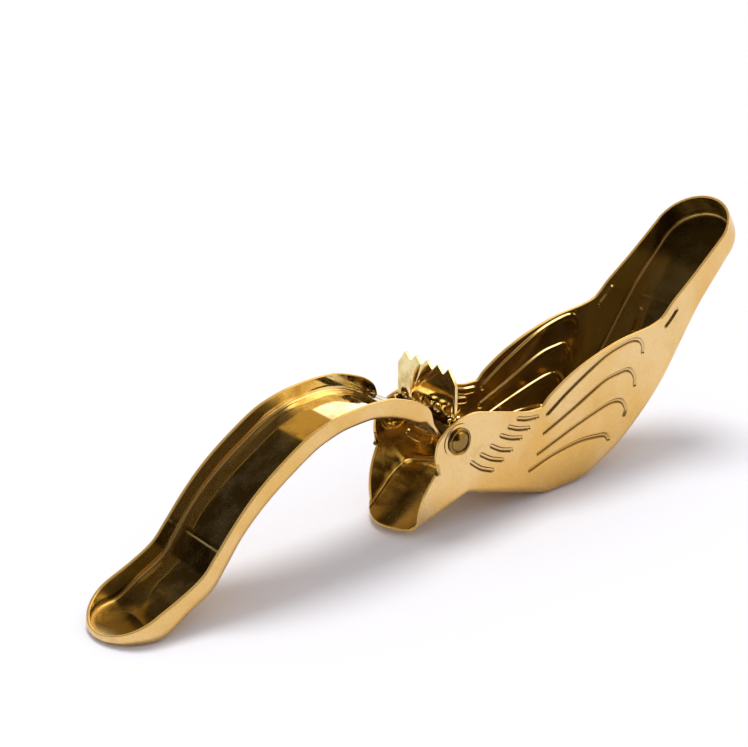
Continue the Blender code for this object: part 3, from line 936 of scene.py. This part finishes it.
def inside_gold(name):
    """Mirror-polished inside: finger smudges, hairlines, a painted highlight along the bends and a worn
    rim.
    """
    n = Nodes(bpy.data.materials.new(name))
    broad = n.noise(55, 4, 0.55)
    smudge = n.noise(150, 9, 0.7)
    corner = n.attribute("corner")
    dull = n.attribute("dull")
    worn = n.attribute("worn")
    hair = n.noise(900, 4, 0.7, n.stretched((0.22, 1.6, 0.22)), 0.4)
    colour = n.mix(n.between(broad, 0.35, 0.7), BRIGHT_GOLD, MIRROR_GOLD)
    colour = n.mix(n.between(smudge, 0.45, 0.62, 0, 0.7), colour, DEEP_GOLD)
    colour = n.mix(n.math("MULTIPLY", dull, 0.92), colour, DULL_GOLD)
    # painted highlight: pale gold along the bend of the floor
    colour = n.mix(corner, colour, SCUFF_AND_SHEEN_GOLD)
    colour = n.mix(n.between(worn, 0.2, 1.0), colour, SCUFF_AND_SHEEN_GOLD)
    n.link(colour, n.shader, "Base Color")
    haze = n.math("ADD", n.between(smudge, 0.45, 0.66, 0, 0.05), n.between(hair, 0.6, 0.75, 0, 0.03))
    # less metal along the bend, so the painted highlight shows lit
    haze = n.math("ADD", haze, n.math("MULTIPLY", corner, 0.3))
    haze = n.math("ADD", haze, n.math("MULTIPLY", worn, 0.45))
    n.link(n.math("SUBTRACT", 1.0, haze), n.shader, "Metallic")
    n.shader.inputs["Specular IOR Level"].default_value = 0.1
    rough = n.math("ADD", n.between(smudge, 0.42, 0.7, 0.06, 0.18), n.between(hair, 0.55, 0.75, 0, 0.08))
    rough = n.math("ADD", rough, n.math("MULTIPLY", dull, 0.16))
    n.link(rough, n.shader, "Roughness")
    ripple = n.noise(22, 1, 0.3)
    normal = n.bump(ripple, 0.0003, 0.2)
    n.link(n.bump(hair, 0.00001, 0.04, normal), n.shader, "Normal")
    return n.owner


def dark_gold(name, light, dark):
    """Polished metal with dark handling marks; for the eyes and the holes, whose given colours carry
    painted shade.
    """
    n = Nodes(bpy.data.materials.new(name))
    smudge = n.noise(500, 5, 0.6)
    colour = n.mix(n.between(smudge, 0.4, 0.7, 0, 0.8), light, dark)
    n.link(colour, n.shader, "Base Color")
    n.shader.inputs["Metallic"].default_value = 1.0
    n.link(n.between(smudge, 0.3, 0.75, 0.06, 0.2), n.shader, "Roughness")
    n.link(n.bump(n.noise(2500, 3, 0.6), 0.00001, 0.3), n.shader, "Normal")
    return n.owner


def plain_brass(name):
    """Turned brass, a little dull."""
    n = Nodes(bpy.data.materials.new(name))
    lines = n.noise(3000, 3, 0.6, n.stretched((1, 0.1, 1)))
    colour = n.mix(n.between(lines, 0.3, 0.7), BRASS, DEEP_GOLD)
    n.link(colour, n.shader, "Base Color")
    n.shader.inputs["Metallic"].default_value = 1.0
    n.link(n.between(lines, 0.3, 0.7, 0.28, 0.45), n.shader, "Roughness")
    n.link(n.bump(lines, 0.00002, 0.3), n.shader, "Normal")
    return n.owner


def paint(piece, *materials):
    """Give a piece its materials; each face keeps the number of its own."""
    mesh = piece.data
    slots = np.zeros(len(mesh.polygons), np.int32)
    mesh.polygons.foreach_get("material_index", slots)
    mesh.materials.clear()
    for material in materials:
        mesh.materials.append(material)
    mesh.polygons.foreach_set("material_index", np.minimum(slots, len(materials) - 1))


# ---------------------------------------------------------------- studio

def studio_floor():
    """White paper, far wider than the view."""
    bm = bmesh.new()
    bmesh.ops.create_circle(bm, cap_ends=True, segments=96, radius=FLOOR_RADIUS)
    floor = piece_from("studio_floor", bm)
    floor.location.z = -FLOOR_DROP
    n = Nodes(bpy.data.materials.new("paper"))
    n.link(n.mix(n.noise(900, 3, 0.5), PAPER_LIGHT, PAPER_DARK), n.shader, "Base Color")
    n.shader.inputs["Roughness"].default_value = 0.9
    n.shader.inputs["Specular IOR Level"].default_value = 0.1
    paint(floor, n.owner)


def studio_light():
    """One broad soft light overhead, which the polished metal does not mirror."""
    lamp = bpy.data.lights.new("overhead", "SUN")
    lamp.energy = LAMP_STRENGTH
    lamp.angle = LAMP_ANGLE
    sun = bpy.data.objects.new("overhead", lamp)
    sun.rotation_mode = "QUATERNION"
    sun.rotation_quaternion = Vector(LAMP_DIRECTION).to_track_quat("Z", "Y")
    sun.visible_glossy = False
    bpy.context.scene.collection.objects.link(sun)


def surroundings():
    """The metal mirrors a dark room with a few lights; the rest of the light is even and white."""
    n = Nodes(bpy.data.worlds.new("studio"), "Generated")
    n.tree.nodes.remove(n.tree.nodes["Background"])
    room = DARK_ROOM
    for direction, edge, full, colour in MIRRORED_LIGHTS:
        room = n.mix(n.between(n.toward(direction), edge, full, kind="SMOOTHSTEP"), room, colour)
    below = n.between(n.toward((0, 0, 1)), 0.0, TABLE_EDGE, kind="SMOOTHSTEP")
    room = n.mix(below, room, PALE_TABLE)
    rays = n.tree.nodes.new("ShaderNodeLightPath").outputs
    light = n.mix(rays["Is Glossy Ray"], AMBIENT, room)
    light = n.mix(rays["Is Camera Ray"], light, (1.0, 1.0, 1.0))
    backdrop = n.tree.nodes.new("ShaderNodeBackground")
    n.link(light, backdrop, "Color")
    n.link(backdrop.outputs[0], n.tree.nodes["World Output"], "Surface")
    bpy.context.scene.world = n.owner


def camera():
    """The camera, placed from the hinge."""
    data = bpy.data.cameras.new("camera")
    data.sensor_width = CAMERA_SENSOR
    data.lens = CAMERA_LENS
    data.clip_start = 0.001
    back = Vector((
        math.sin(CAMERA_AZIMUTH) * math.cos(CAMERA_ELEVATION),
        -math.cos(CAMERA_AZIMUTH) * math.cos(CAMERA_ELEVATION),
        math.sin(CAMERA_ELEVATION),
    ))
    eye = bpy.data.objects.new("camera", data)
    eye.location = Vector(HINGE) + CAMERA_FROM_HINGE
    eye.rotation_mode = "QUATERNION"
    eye.rotation_quaternion = back.to_track_quat("Z", "Y")
    bpy.context.scene.collection.objects.link(eye)
    bpy.context.scene.camera = eye


def stand_for(piece, body, node):
    """Let a piece move with a body and take a node's place."""
    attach(piece, body)
    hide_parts(node)


camera()
outside = outside_gold("gold_outside")
inside = inside_gold("gold_inside")
# the eye rivets' darkened colour is a painted dark reflection
head = dark_gold("gold_rivet", SHADED_HEAD_GOLD, DULL_GOLD)
turned = plain_brass("turned_brass")
# painted shade in the drain holes: dark gold to near black
shaded_holes = dark_gold("gold_painted_shade_holes", DULL_GOLD, PAINTED_SHADE)

bird = body_shell()
paint(bird, outside, inside)
stand_for(bird, "bird", "bird_body")

lever = lever_shell()
paint(lever, outside, inside)
stand_for(lever, "lever", "press_lever")

comb = strainer()
paint(comb, inside, shaded_holes)
stand_for(comb, "lever", "strainer_plate")

for side, name in ((-1, "left"), (1, "right")):
    rivet = lathe("eye_" + name, rivet_profile(), side)
    paint(rivet, head)
    stand_for(rivet, "bird", "eye_rivet_" + name)
    ring = lathe("spacer_" + name, spacer_profile(), side)
    paint(ring, turned)
    stand_for(ring, "bird", "spacer_ring_" + name)

studio_floor()
studio_light()
surroundings()
bpy.context.scene.view_settings.view_transform = "Standard"
